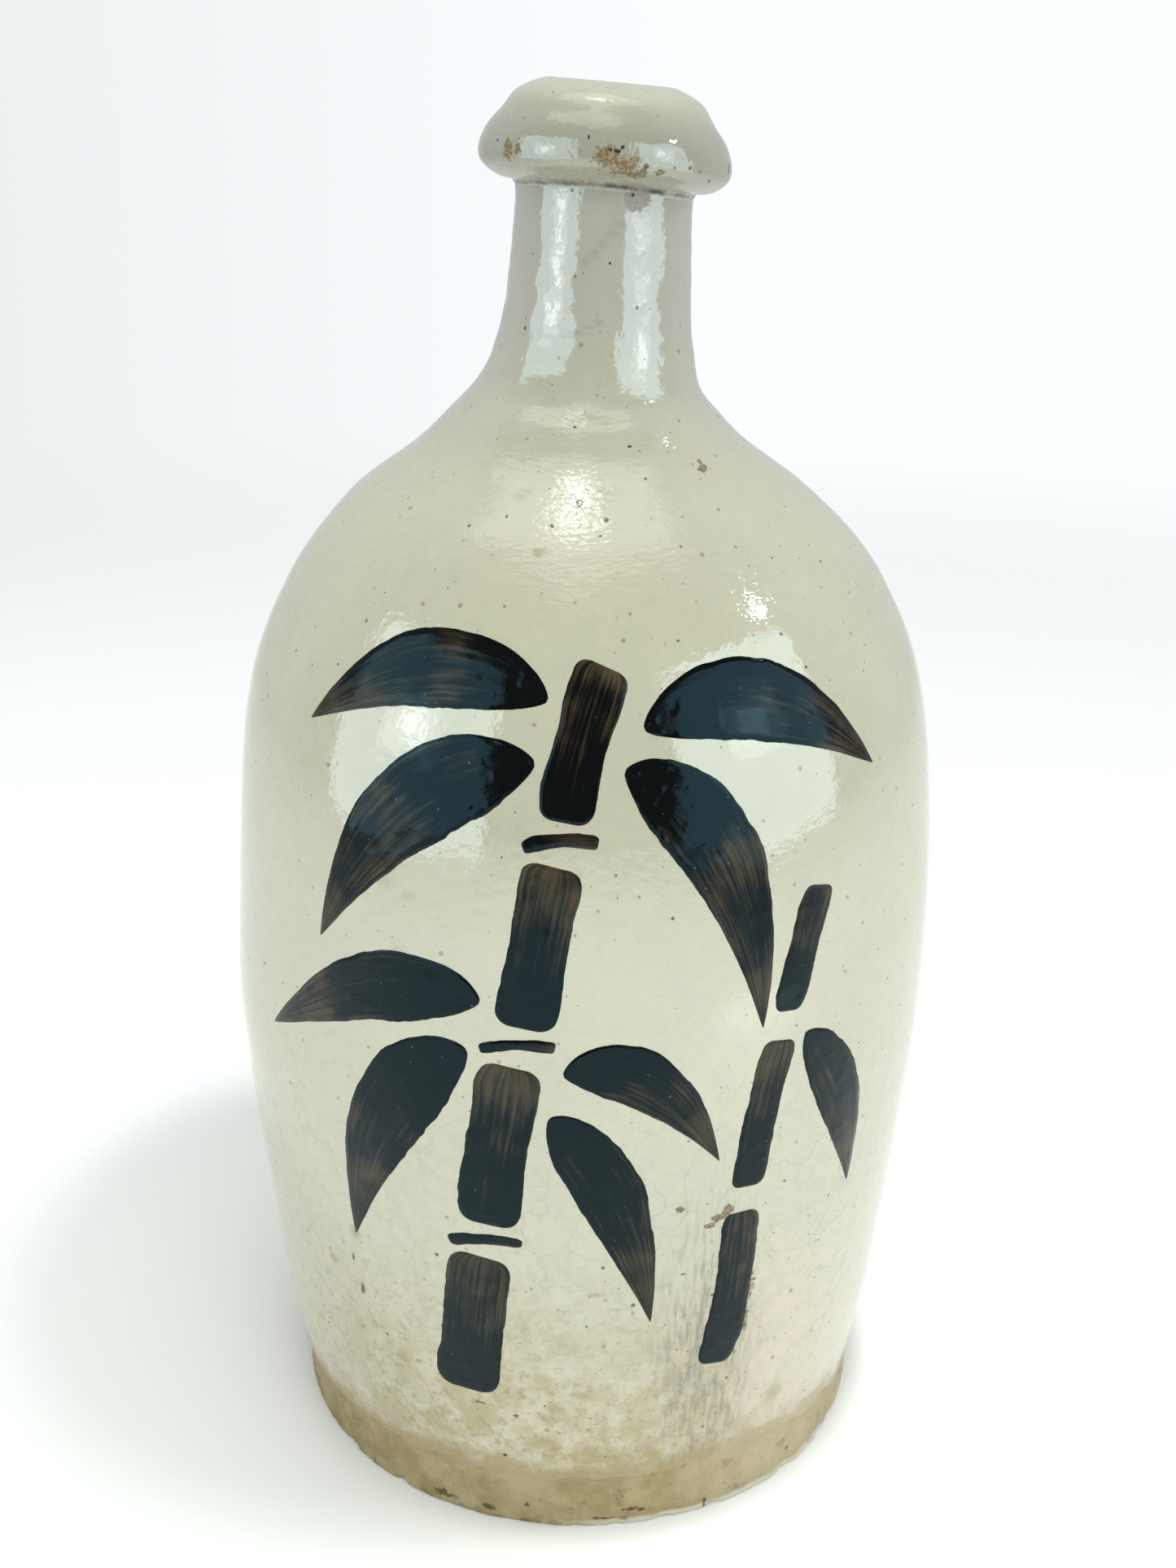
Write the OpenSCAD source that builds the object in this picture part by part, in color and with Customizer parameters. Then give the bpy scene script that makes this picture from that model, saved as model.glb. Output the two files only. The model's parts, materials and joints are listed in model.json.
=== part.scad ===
// Glazed stoneware sake bottle: thrown in sections, luted together, glazed and painted with iron slip.
// Millimetres, +Z up, origin at the centre of the underside. The painted side faces -Y.

/* [Outside shape] */
// Height of the crease under the lip
crease_h = 236; // [180:1:300]
// Radius of the belly at its widest
belly_r = 67; // [56:0.5:80]
// Radius of the foot, over the glaze
foot_r = 57.8; // [50:0.1:62]
// Radius of the neck just under the lip
neck_r = 15.1; // [14:0.1:17]
// How far the neck and lip lean towards +X, in degrees
lean = 4.5; // [0:0.5:6]

/* [Lip] */
// How far the lip stands out past the neck
lip_overhang = 6.5; // [4:0.1:9]
// Height of the lip above the crease
lip_h = 17.3; // [14:0.1:20]
// Radius of the mouth and of the hole down the neck
bore_r = 9; // [7:0.1:10]

/* [Thicknesses] */
// Wall, including the outer glaze
wall = 5; // [4:0.1:6.5]
// Floor of the bottle
base_t = 10; // [8:0.5:14]
// Radius of the hollow corner between the floor and the wall
floor_corner_r = 8; // [6:0.5:10]
// Outer glaze
glaze_t = 0.6; // [0.4:0.05:0.8]
// Inner glaze
lining_t = 0.4; // [0.3:0.05:0.6]
// Iron slip of the painting
paint_t = 0.3; // [0.2:0.05:0.5]

/* [Joins] */
// Height of the bare clay band at the foot
bare_h = 10.5; // [8:0.5:12]
// Height of the join between the base and the lower wall
base_join = 15; // [15:0.5:17]
// Bevel round the underside
foot_bevel = 1.2; // [0.5:0.1:2]
// Height of the join between the lower and the upper wall, at the outside
belly_join = 118; // [100:1:130]
// How much higher that join is at the inside, so that the upper wall seats itself
join_rise = 3; // [1:0.5:5]

/* [Hidden] */
$fn = 120;
steps = 4;                       // straight bands between two knots of an outline
far = 2 * belly_r;               // reaches past the body from its axis
pivot_z = 0.856 * crease_h;      // the neck leans about this point on the axis
neck_join = 0.883 * crease_h;    // height of the join between shoulder and neck
flare_top = neck_join + 7.6;     // the hole is a plain cylinder above here
flare_r = 12.6;                  // radius of the hollow at the neck join
core_r = neck_r - glaze_t;       // the neck runs on inside the lip with this radius

// Outline of the body from the foot to the crease. Above the foot, radii are parts of the belly's and
// then of the neck's, and heights are parts of the crease's.
belly_knots = [
    [0.926, 0.135], [0.986, 0.31], [1, 0.44], [0.944, 0.62], [0.822, 0.714], [0.646, 0.776], [0.433, 0.822]
];
neck_knots = [[1.35, 0.859], [1.12, 0.902], [1.04, 0.953], [1, 1]];
body_knots = concat(
    [[foot_r, 0], [foot_r + 0.5, 8]],
    [for (k = belly_knots) [k[0] * belly_r, k[1] * crease_h]],
    [for (k = neck_knots) [k[0] * neck_r, k[1] * crease_h]]
);

// Outline of the lip from the crease, out, up and over into the mouth. The first number is a part of the
// overhang, counted from the neck's radius, and the second a part of the lip's height.
lip_under_knots = [[0, 0], [0.45, 0.01], [0.9, 0.12], [1, 0.28], [0.8, 0.5], [0.32, 0.72], [-0.12, 0.875]];
lip_knots = concat(
    [for (k = lip_under_knots) [neck_r + k[0] * lip_overhang, crease_h + k[1] * lip_h]],
    [[bore_r + 2.4, crease_h + 0.975 * lip_h], [bore_r + 0.8, crease_h + 0.99 * lip_h],
     [bore_r, crease_h + 0.93 * lip_h]]
);

// Brush strokes of the bamboo: start, control point and end of the middle line, as [x, z], and half width.
culms = [
    [[-20, 33], [-19, 49], [-16.5, 65], 6.4],
    [[-15.5, 72], [-14, 88], [-11.5, 104], 6.1],
    [[-10, 111], [-8, 125], [-5, 139], 5.7],
    [[-3.5, 146], [-1.5, 158], [3, 169], 5.1]
];
rings = [
    [[-22.5, 67.6], [-16, 70], [-9.5, 68.8], 1.3],
    [[-17, 106.6], [-10.5, 109], [-4.5, 107.8], 1.3],
    [[-10, 141.6], [-4, 144], [2, 142.8], 1.3]
];
shoots = [
    [[25, 38], [28, 55], [28.5, 72], 3.9],
    [[29.2, 77], [30.5, 91], [33.5, 105], 3.6],
    [[34.3, 110], [36, 121], [39, 131], 3.1]
];
leaves = [
    [[9, 160], [29, 170], [48, 148], 5.8],
    [[6, 154], [26, 147], [30, 108], 6.6],
    [[-6, 164], [-26, 174], [-46, 155], 5.6],
    [[-8, 155], [-32, 153], [-45, 119], 6.8],
    [[-17, 115], [-36, 120], [-55, 97], 6],
    [[-19, 106], [-36, 98], [-40, 61], 6.8],
    [[-3, 103], [13, 108], [24, 84], 5.2],
    [[-5, 95], [8, 84], [13, 51], 6],
    [[38, 105], [47, 94], [49, 68], 4.2]
];
function names(stem, list) = [for (i = [1:len(list)]) str(stem, "_", i)];

// Smooth curve through a list of points, steps points to each stretch.
function spline_point(a, b, c, d, t) =
    (2 * b + (c - a) * t + (2 * a - 5 * b + 4 * c - d) * t * t + (3 * b - a - 3 * c + d) * t * t * t) / 2;
function curve_through(p) =
    let (last = len(p) - 1, q = concat([2 * p[0] - p[1]], p, [2 * p[last] - p[last - 1]]))
    concat([for (i = [0:last - 1], j = [0:steps - 1])
        spline_point(q[i], q[i + 1], q[i + 2], q[i + 3], j / steps)], [p[last]]);

// The same line moved sideways by d, to its left as it runs.
function side(v) = [-v[1], v[0]] / norm(v);
function moved(p, d) =
    [for (i = [0:len(p) - 1]) p[i] + d * side(p[min(i + 1, len(p) - 1)] - p[max(i - 1, 0)])];

body_line = curve_through(body_knots);
lip_line = curve_through(lip_knots);

// Solid of revolution inside a line that runs upwards, closed to the axis.
module turned(line) {
    last = len(line) - 1;
    rotate_extrude() polygon(concat([[0, line[0][1]]], line, [[0, line[last][1]]]));
}

// The body or the lip with its surface moved inwards by d.
module body_solid(d) turned(moved(body_line, d));
module lip_solid(d) turned(moved(lip_line, d));

// Everything between two heights, each with its own rise from the outside in.
module band(low, high, low_rise = 0, high_rise = 0) {
    rise_per_mm = 1 / wall;
    low_change = low_rise * belly_r * rise_per_mm;
    high_change = high_rise * belly_r * rise_per_mm;
    rotate_extrude() polygon([
        [0, low + low_change], [belly_r, low], [far, low - low_change],
        [far, high - high_change], [belly_r, high], [0, high + high_change]
    ]);
}

// The hollow inside, with its surface moved inwards by d.
module hollow(d) {
    inner = [for (p = moved(body_line, wall + d)) if (p[1] > base_t + floor_corner_r) p];
    corner = [inner[0][0] - floor_corner_r + d, base_t + floor_corner_r];
    arc = [for (a = [-90:15:0]) corner + (floor_corner_r - d) * [cos(a), sin(a)]];
    turned(concat(arc, inner));
}

// Places what belongs to the leaning neck. Inside, heights are counted as on an upright bottle.
module leaning() translate([0, 0, pivot_z]) rotate([0, lean, 0]) translate([0, 0, -pivot_z]) children();

// What lies above the neck join.
module above_neck_join() leaning() translate([0, 0, neck_join]) cylinder(r = 2.5 * neck_r, h = crease_h);

// The straight top end of the neck, from just below the crease to a height above it.
module core(top) translate([0, 0, crease_h - 1]) cylinder(r = core_r, h = top + 1);

// The hole through the neck, down to the flare that meets the hollow body.
module bore() {
    translate([0, 0, flare_top]) cylinder(r = bore_r, h = crease_h);
    translate([0, 0, neck_join - 1]) cylinder(r1 = flare_r + 0.5, r2 = bore_r, h = flare_top - neck_join + 1);
}

module base_disc() color("tan") difference() {
    flat_r = foot_r - glaze_t - foot_bevel;
    intersection() {
        body_solid(glaze_t);
        union() {
            cylinder(r1 = flat_r, r2 = belly_r, h = belly_r - flat_r);
            band(foot_bevel, base_join);
        }
    }
    hollow(0);
}

module lower_wall() color("burlywood") difference() {
    intersection() {
        body_solid(glaze_t);
        band(base_join, belly_join, 0, join_rise);
    }
    hollow(0);
}

module upper_wall() color("wheat") difference() {
    intersection() {
        body_solid(glaze_t);
        band(belly_join, crease_h, join_rise, 0);
    }
    hollow(0);
    above_neck_join();
}

module neck() color("tan") leaning() difference() {
    union() {
        intersection() {
            body_solid(glaze_t);
            band(neck_join, crease_h);
        }
        core(lip_h / 2);
        intersection() {
            lip_solid(glaze_t);
            core(lip_h);
        }
    }
    bore();
}

module lip_ring() color("burlywood") leaning() difference() {
    lip_solid(glaze_t);
    core(lip_h);
}

module body_glaze() color("gainsboro") difference() {
    intersection() {
        body_solid(0);
        band(bare_h, crease_h);
    }
    body_solid(glaze_t);
    above_neck_join();
}

module neck_glaze() color("silver") leaning() difference() {
    union() {
        intersection() {
            body_solid(0);
            band(neck_join, crease_h);
        }
        lip_solid(0);
    }
    body_solid(glaze_t);
    lip_solid(glaze_t);
    core(lip_h / 2);
    bore();
}

module inner_glaze() color("lightgray") difference() {
    hollow(0);
    hollow(lining_t);
    above_neck_join();
}

// Half width along a stroke, for t from 0 to 1: a culm is a bar with round ends and a slight waist, and a
// leaf swells soon after its start and runs out to a point.
function culm_width(t) = pow(1 - pow(abs(2 * t - 1), 6), 0.25) * (0.85 + 0.15 * pow(2 * t - 1, 2));
function leaf_width(t) = pow(sin(180 * pow(t, 0.72)), 0.9);

// Outline of a stroke in the XZ plane, worked out on both sides of its middle line.
function middle(s, t) = pow(1 - t, 2) * s[0] + 2 * t * (1 - t) * s[1] + t * t * s[2];
function heading(s, t) = (1 - t) * (s[1] - s[0]) + t * (s[2] - s[1]);
function edge(s, t, width) = middle(s, t) + s[3] * width * side(heading(s, t));
module outline(s, is_leaf) {
    ts = [for (i = [0:16]) (1 - cos(i * 180 / 16)) / 2];
    widths = [for (t = ts) is_leaf ? leaf_width(t) : culm_width(t)];
    polygon(concat(
        [for (i = [0:15]) edge(s, ts[i], widths[i])],
        [for (i = [16:-1:1]) edge(s, ts[i], -widths[i])]
    ));
}

// A stroke lies on the glaze, wrapped round the front of the body.
module stroke(s, is_leaf) color([0.12, 0.1, 0.09]) intersection() {
    difference() {
        body_solid(-paint_t);
        body_solid(0);
    }
    rotate([90, 0, 0]) linear_extrude(height = far) outline(s, is_leaf);
}

base_disc();
lower_wall();
upper_wall();
neck();
lip_ring();
body_glaze();
neck_glaze();
inner_glaze();
for (i = [0:len(culms) - 1]) stroke(culms[i], false);
for (i = [0:len(rings) - 1]) stroke(rings[i], false);
for (i = [0:len(shoots) - 1]) stroke(shoots[i], false);
for (i = [0:len(leaves) - 1]) stroke(leaves[i], true);
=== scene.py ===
"""Looks of the sake bottle: glazed, painted and worn stoneware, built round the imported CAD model.

Shapes are worked out in millimetres on an ideal bottle, which is upright and perfectly round. warp() then
takes every piece to the real one, so the clay, the glaze and the painting stay together. A place on the
ideal bottle is a radius, an angle round the axis, with 0 at the painted front and rising towards +X, and a
height.
"""

import json
import math

import bpy
import numpy as np
from mathutils import Matrix, Vector

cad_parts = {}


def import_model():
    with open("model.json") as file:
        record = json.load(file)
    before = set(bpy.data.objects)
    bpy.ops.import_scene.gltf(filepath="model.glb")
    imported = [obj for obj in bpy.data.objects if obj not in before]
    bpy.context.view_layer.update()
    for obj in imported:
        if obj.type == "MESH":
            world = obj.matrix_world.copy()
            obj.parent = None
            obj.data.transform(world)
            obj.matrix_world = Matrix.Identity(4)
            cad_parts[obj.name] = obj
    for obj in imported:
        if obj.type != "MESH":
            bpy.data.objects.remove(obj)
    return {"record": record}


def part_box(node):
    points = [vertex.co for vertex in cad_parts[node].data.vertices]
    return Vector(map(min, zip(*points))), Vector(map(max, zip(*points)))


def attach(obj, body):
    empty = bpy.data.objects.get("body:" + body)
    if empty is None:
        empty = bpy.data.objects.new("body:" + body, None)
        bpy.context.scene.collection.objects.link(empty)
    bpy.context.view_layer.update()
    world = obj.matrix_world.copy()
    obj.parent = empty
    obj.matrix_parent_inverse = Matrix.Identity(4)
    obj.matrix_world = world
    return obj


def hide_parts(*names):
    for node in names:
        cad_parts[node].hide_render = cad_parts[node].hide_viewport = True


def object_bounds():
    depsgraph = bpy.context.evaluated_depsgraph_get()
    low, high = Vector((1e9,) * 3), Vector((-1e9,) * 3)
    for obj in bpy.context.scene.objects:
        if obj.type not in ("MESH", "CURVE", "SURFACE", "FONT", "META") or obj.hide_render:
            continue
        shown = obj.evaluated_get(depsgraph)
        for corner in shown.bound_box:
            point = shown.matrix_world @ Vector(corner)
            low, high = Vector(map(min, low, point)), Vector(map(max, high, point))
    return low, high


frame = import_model()
cad_low, cad_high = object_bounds()
MM = 0.001                    # metres in a millimetre

# ---- sizes, in mm, as in the CAD model
mouth = next(m for m in frame["record"]["mounts"] if m["name"] == "mouth")
height = cad_high.z / MM
crease_h = 0.93 * height      # height of the crease under the lip
glaze_low, glaze_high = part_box("body_glaze")
# The smooth outline bulges a little past the belly's radius, which is that of its widest knot.
belly_r = 0.9975 * 0.5 * (glaze_high.x - glaze_low.x) / MM
foot_r = 0.8627 * belly_r     # radius of the foot, over the glaze
neck_r = 0.2254 * belly_r     # radius of the neck just under the lip
bore_r = mouth["dims"]["r_mm"]
lean = math.atan2(mouth["axis"][0], mouth["axis"][2])
pivot_z = 0.856 * crease_h    # the neck leans about this point on the axis
neck_join = 0.883 * crease_h  # height of the join between shoulder and neck
lip_overhang = 0.43 * neck_r
lip_h = 1.146 * neck_r
wall = 5.0                    # thickness of the body's wall, with its glaze
base_t = 10.0                 # thickness of the floor
base_join = 15.0              # height of the join between base and lower wall
belly_join = 0.5 * crease_h   # height of the join between lower and upper wall
core_r = neck_r - 1.2         # radius of the neck's clay inside the lip
glaze_t = 0.6
lining_t = 0.4                # thickness of the glaze inside the body
paint_t = 0.14                # thickness of a brush stroke
bare_h = 10.6                 # mean height of the glaze's lower edge
axis_gap = 0.6                # pieces that reach the axis have a small flat face there

# Outline of the body and of the lip: parts of the belly's radius and the crease's height, of the neck's,
# and of the lip's overhang and height.
BELLY = [
    (0.926, 0.135), (0.986, 0.31), (1, 0.44), (0.944, 0.62), (0.822, 0.714), (0.646, 0.776), (0.433, 0.822),
]
NECK = [(1.35, 0.859), (1.12, 0.902), (1.04, 0.953), (1, 1)]
LIP = [(0, 0), (0.45, 0.01), (0.9, 0.12), (1, 0.28), (0.8, 0.5), (0.32, 0.72), (-0.12, 0.875)]

# How far the middle line of the real bottle strays from the axis towards +X, in mm: (height, distance).
STRAY = [
    (0, -0.2), (85, -0.2), (118, 0.6), (170, 0.45), (188, -0.5), (209, 1.1), (232, 0.5), (242, 0), (260, 0),
]

# Brush strokes: start, control point and end of the middle line, as (x, height), and half width.
CULMS = [
    ((-20, 33), (-19, 49), (-16.5, 65), 6.4),
    ((-15.5, 72), (-14, 88), (-11.5, 104), 6.1),
    ((-10, 111), (-8, 125), (-5, 139), 5.7),
    ((-3.5, 146), (-1.5, 158), (3, 169), 5.1),
]
RINGS = [
    ((-22.5, 67.6), (-16, 70), (-9.5, 68.8), 1.3),
    ((-17, 106.6), (-10.5, 109), (-4.5, 107.8), 1.3),
    ((-10, 141.6), (-4, 144), (2, 142.8), 1.3),
]
SHOOTS = [
    ((25, 38), (28, 55), (28.5, 72), 3.9),
    ((29.2, 77), (30.5, 91), (33.5, 105), 3.6),
    ((34.3, 110), (36, 121), (39, 131), 3.1),
]
LEAVES = [
    ((9, 160), (29, 170), (48, 148), 5.8),
    ((6, 154), (26, 147), (30, 108), 6.6),
    ((-6, 164), (-26, 174), (-46, 155), 5.6),
    ((-8, 155), (-32, 153), (-45, 119), 6.8),
    ((-17, 115), (-36, 120), (-55, 97), 6),
    ((-19, 106), (-36, 98), (-40, 61), 6.8),
    ((-3, 103), (13, 108), (24, 84), 5.2),
    ((-5, 95), (8, 84), (13, 51), 6),
    ((38, 105), (47, 94), (49, 68), 4.2),
]

# Marks on the glaze, and grime on the bare foot: x and height of the middle, half width and half height.
PITS = [
    (1.3, 225.6, 0.35, 0.5), (6.3, 219, 0.35, 0.4), (-12.6, 213.6, 0.35, 0.5), (-2.1, 199.4, 0.4, 0.35),
    (7.3, 197, 0.5, 0.3), (-0.3, 190, 0.7, 0.7), (4.1, 187.9, 0.5, 0.4), (-12.3, 187.9, 0.35, 0.35),
    (-4.8, 187.1, 0.4, 0.35), (10.5, 192.8, 0.3, 0.3), (4.6, 234.6, 0.4, 0.4), (-3, 244.6, 0.2, 0.5),
    (-18.1, 242.4, 0.25, 0.35), (2.3, 243.3, 0.45, 0.5), (0.4, 242.6, 0.5, 0.45), (1.6, 242.5, 0.7, 0.4),
    (6.4, 240, 0.6, 0.5), (11.2, 240.2, 0.25, 0.25), (13.8, 240.6, 0.4, 0.35), (17.4, 238.5, 0.3, 0.3),
    (21, 240.9, 0.4, 1), (-27.4, 88.9, 0.45, 0.45), (-25.2, 63.3, 0.55, 0.5), (-20.6, 63.5, 0.45, 0.4),
    (-3.3, 85.5, 0.5, 0.4), (1.3, 88.3, 0.5, 0.4), (3.7, 84.2, 0.6, 0.5), (4.5, 64.2, 0.4, 0.4),
    (-11.3, 28.4, 0.6, 0.6), (-13.5, 17.4, 0.6, 0.5), (10, 55.4, 0.6, 0.6), (18.9, 60.9, 0.7, 0.3),
    (24.5, 54.8, 0.5, 0.35), (-40.1, 48.4, 0.6, 1.9), (-41.7, 55, 0.35, 1.3), (-18, 30.3, 1.7, 0.25),
]
BROWN_PATCHES = [
    (0.2, 241.2, 2.3, 1.7), (3, 239.3, 2.4, 1.4), (5.2, 238.2, 1.5, 0.8), (-16.3, 241, 1.0, 1.7),
    (-14.6, 241.2, 0.6, 0.9), (8.8, 239, 0.8, 0.5), (20.6, 193.3, 1.0, 0.6), (19.8, 194.4, 0.35, 0.8),
    (26.5, 73, 1.0, 1.3), (25, 71.8, 1.4, 0.8), (23.4, 70.6, 1.2, 0.5), (30.4, 54, 1.9, 3.6),
    (30.8, 47.5, 0.7, 3.4), (29.4, 58.5, 1.3, 1.6), (17.9, 75.2, 0.7, 0.6),
]
OLIVE_SPOTS = [
    (-3.9, 31.2, 1.5, 1.2), (-32.5, 35.9, 1.6, 1.2), (-20.4, 44.3, 1.3, 1.2), (-10, 35.2, 1.0, 0.7),
    (0.2, 34.8, 1.5, 0.8), (-24.9, 25.9, 1.8, 1.2), (3.3, 58.2, 1.8, 0.7), (-37.9, 41.1, 1.0, 1.0),
    (-6.9, 183.7, 1.2, 0.7), (20.2, 39.5, 0.8, 0.6), (-46.1, 51.7, 1.0, 1.3), (-41, 61.1, 1.3, 1.6),
    (38, 23.5, 2.6, 2.8),
]
GRIME = [
    (10.5, 3.6, 2.0, 0.5), (12.6, 3.0, 0.9, 0.5), (5.5, 1.8, 2.6, 0.35), (7.2, 7.6, 0.5, 0.3),
    (24.8, 1.2, 0.3, 1.6), (-26, 2.4, 2.4, 1.0), (-9.5, 4.6, 0.6, 0.5), (-17, 2.2, 1.6, 0.7),
    (41.5, 4.9, 0.4, 0.4),
]
SCARS = [(5.4, 234, 2.2, 1.7)]
GREY_SMEARS = [
    (-5.5, 213.4, 1.3, 0.4), (-3.6, 214.2, 1.3, 0.4), (-1.8, 215.3, 1.2, 0.4), (0, 216.3, 1.0, 0.4),
    (-3, 225.3, 1.0, 0.8), (-1.4, 226.6, 1.0, 0.8), (0, 228, 0.9, 0.8), (1.5, 229.6, 1.1, 0.8),
    (2.8, 230.8, 1.0, 0.8), (-10.4, 190.4, 1.2, 0.6), (-9.2, 191.2, 1.0, 0.5), (-33.6, 132.7, 1.6, 1.2),
    (-29.4, 131, 1.2, 0.9), (-31.1, 121.5, 1.5, 0.9), (7.5, 54.6, 2.4, 0.35), (14.5, 58.9, 2.6, 0.45),
    (23, 44, 3.0, 6.0), (21.4, 33, 3.2, 7.0), (27.5, 62, 2.6, 5.0),
]

# Colours, as linear red, green and blue. First the glaze, from the body to the top of the lip; on the neck
# and lip partly its own tone and partly painted shade, and a painted highlight on the lip's top.
BODY_COLOUR = (0.56, 0.54, 0.405)
LOW_COLOUR = (0.61, 0.555, 0.41)
# The neck's and the lip's colours are partly the glaze's own greyer tone and partly painted shade.
NECK_TONE_AND_SHADE = (0.45, 0.44, 0.375)
LIP_TONE_AND_SHADE = (0.335, 0.33, 0.265)
# The top of the lip is painted lighter: a painted highlight where light falls from above.
LIP_TOP_PAINTED_HIGHLIGHT = (0.50, 0.50, 0.385)
CLOUD_COLOUR = (0.41, 0.40, 0.31)
MOTTLE_COLOUR = (0.36, 0.36, 0.28)
GRAIN_COLOUR = (0.25, 0.25, 0.2)
PINK_COLOUR = (0.68, 0.54, 0.45)
# What is on the glaze or shows through it.
STAIN_COLOUR = (0.37, 0.30, 0.13)
BLOTCH_COLOUR = (0.29, 0.22, 0.095)
RUBBED_COLOUR = (0.235, 0.215, 0.155)
CRAZE_COLOUR = (0.27, 0.26, 0.20)
BROWN_SPECK = (0.20, 0.15, 0.08)
GREY_SPECK = (0.10, 0.10, 0.08)
RUST_SPECK = (0.16, 0.085, 0.04)
SMEAR_COLOUR = (0.16, 0.155, 0.13)
OLIVE_COLOUR = (0.30, 0.25, 0.10)
# Brown on the left just above the crease: partly stain, partly painted shade under the lip.
UNDER_LIP_STAIN_AND_SHADE = (0.28, 0.21, 0.10)
PATCH_DARK = (0.14, 0.10, 0.05)
PATCH_PALE = (0.37, 0.275, 0.145)
# Dirt and painted shade in the crease under the lip.
CREASE_DIRT_AND_SHADE = (0.02, 0.017, 0.012)
THIN_COLOUR = (0.40, 0.315, 0.18)
EDGE_LINE_COLOUR = (0.20, 0.10, 0.045)
SCAR_COLOUR = (0.33, 0.295, 0.26)
PIT_COLOUR = (0.014, 0.012, 0.01)
# The painting, the clay and the glaze inside.
SLIP_COLOUR = (0.004, 0.004, 0.004)
DRY_SLIP_COLOUR = (0.085, 0.06, 0.032)
# Pale bluish specks: painted glints on the slip.
SLIP_GLINT_SPECK = (0.22, 0.25, 0.26)
SLIP_SHEEN = (0.45, 0.85, 1.0)
CLAY_DARK = (0.33, 0.25, 0.12)
CLAY_COLOUR = (0.43, 0.345, 0.195)
CLAY_PALE = (0.58, 0.51, 0.37)
CLAY_DIRT = (0.16, 0.12, 0.06)
CLAY_RIM = (0.64, 0.61, 0.50)
CLAY_INSIDE = (0.55, 0.5, 0.4)
GRIME_COLOUR = (0.075, 0.05, 0.025)
LINING_PALE = (0.4, 0.38, 0.3)
LINING_DARK = (0.3, 0.27, 0.2)

STROKE_ROW = 0.45             # mm between the rows of points across a brush stroke
STROKE_COLUMN = 0.36          # mean mm between the points of a row
GLAZE_POINTS = 448            # points round the glaze
GLAZE_ROW = 0.7               # mm between its rows
FOOT_POINTS = 720             # points round the bare foot
RING_POINTS = 192             # points round each piece that is hidden inside
NOISE_CELLS = 32              # the noise repeats after this many lumps


# ---- helpers for curves and noise
def curve_through(knots, steps=24):
    """Smooth line through the knots (Catmull-Rom), as part.scad draws it."""
    knots = np.asarray(knots, float)
    ends = np.vstack([2 * knots[0] - knots[1], knots, 2 * knots[-1] - knots[-2]])
    t = np.arange(steps)[:, None] / steps
    spans = []
    for a, b, c, d in zip(ends, ends[1:], ends[2:], ends[3:]):
        bend = (2 * a - 5 * b + 4 * c - d) * t**2 + (3 * b - a - 3 * c + d) * t**3
        spans.append((2 * b + (c - a) * t + bend) / 2)
    return np.vstack(spans + [knots[-1:]])


def lengths_along(line):
    """Length from the start of a line to each of its points."""
    return np.concatenate([[0], np.cumsum(np.linalg.norm(np.diff(line, axis=0), axis=1))])


def evenly(line, spacing):
    """The line with its points about this far apart."""
    along = lengths_along(line)
    stops = np.linspace(0, along[-1], max(2, int(round(along[-1] / spacing)) + 1))
    return np.column_stack([np.interp(stops, along, line[:, k]) for k in (0, 1)])


def angles(count):
    """Angles of this many points evenly round the bottle."""
    return np.arange(count) * 2 * math.pi / count


def smooth(value, low, high):
    """0 below low, 1 above high, and a smooth rise between; low may be the larger."""
    t = np.clip((value - low) / (high - low), 0, 1)
    return t * t * (3 - 2 * t)


def bell(distance, width):
    """1 at no distance, falling to nearly 0 at twice the width."""
    return np.exp(-((distance / width) ** 2))


def noise(points, size, seed):
    """Smooth noise from -1 to 1 at an (..., 3) array of points; size is the lump's, one number or three."""
    table = np.random.default_rng(seed).uniform(-1, 1, (NOISE_CELLS,) * 3)
    scaled = points / np.asarray(size, float)
    cell = np.floor(scaled).astype(int)
    part = scaled - cell
    part = part * part * part * (part * (6 * part - 15) + 10)
    total = np.zeros(points.shape[:-1])
    for corner in np.ndindex(2, 2, 2):
        weight = np.prod(np.where(corner, part, 1 - part), axis=-1)
        i, j, k = np.moveaxis((cell + corner) % NOISE_CELLS, -1, 0)
        total += weight * table[i, j, k]
    return total


def places(*values):
    """Points from their coordinates, which may be arrays of different shapes."""
    return np.stack(np.broadcast_arrays(*values), axis=-1).astype(float)


# ---- the ideal outline
def outer_line():
    """Outline of the glaze from the underside's edge up, over the lip and down the hole in the neck."""
    body = [(foot_r, 0), (foot_r + 0.5, 8)]
    body += [(r * belly_r, z * crease_h) for r, z in BELLY]
    body += [(r * neck_r, z * crease_h) for r, z in NECK]
    lip = [(neck_r + r * lip_overhang, crease_h + z * lip_h) for r, z in LIP]
    lip += [(bore_r + 2.4, crease_h + 0.975 * lip_h), (bore_r + 0.8, crease_h + 0.99 * lip_h)]
    lip += [(bore_r, crease_h + 0.93 * lip_h), (bore_r, crease_h + 0.7 * lip_h), (bore_r, crease_h - 8)]
    lip += [(bore_r, neck_join + 9), (bore_r + 3, neck_join + 2)]
    line = evenly(np.vstack([curve_through(body), curve_through(lip)[1:]]), 0.2)
    # The glaze fills the sharp crease with a small fillet: there the line is its own running mean.
    reach = 12
    kernel = bell(np.arange(-reach, reach + 1), 5.0)
    kernel /= kernel.sum()
    padded = np.pad(line, ((reach, reach), (0, 0)), "edge")
    softened = np.column_stack([np.convolve(padded[:, k], kernel, "valid") for k in (0, 1)])
    along = lengths_along(line)
    near = bell(along - along[crease_point(line)], 2.0)
    return line + (softened - line) * near[:, None]


def crease_point(line):
    """Number of the line's point that is nearest the crease under the lip."""
    return np.argmin(np.hypot(line[:, 0] - neck_r, line[:, 1] - crease_h))


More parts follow.
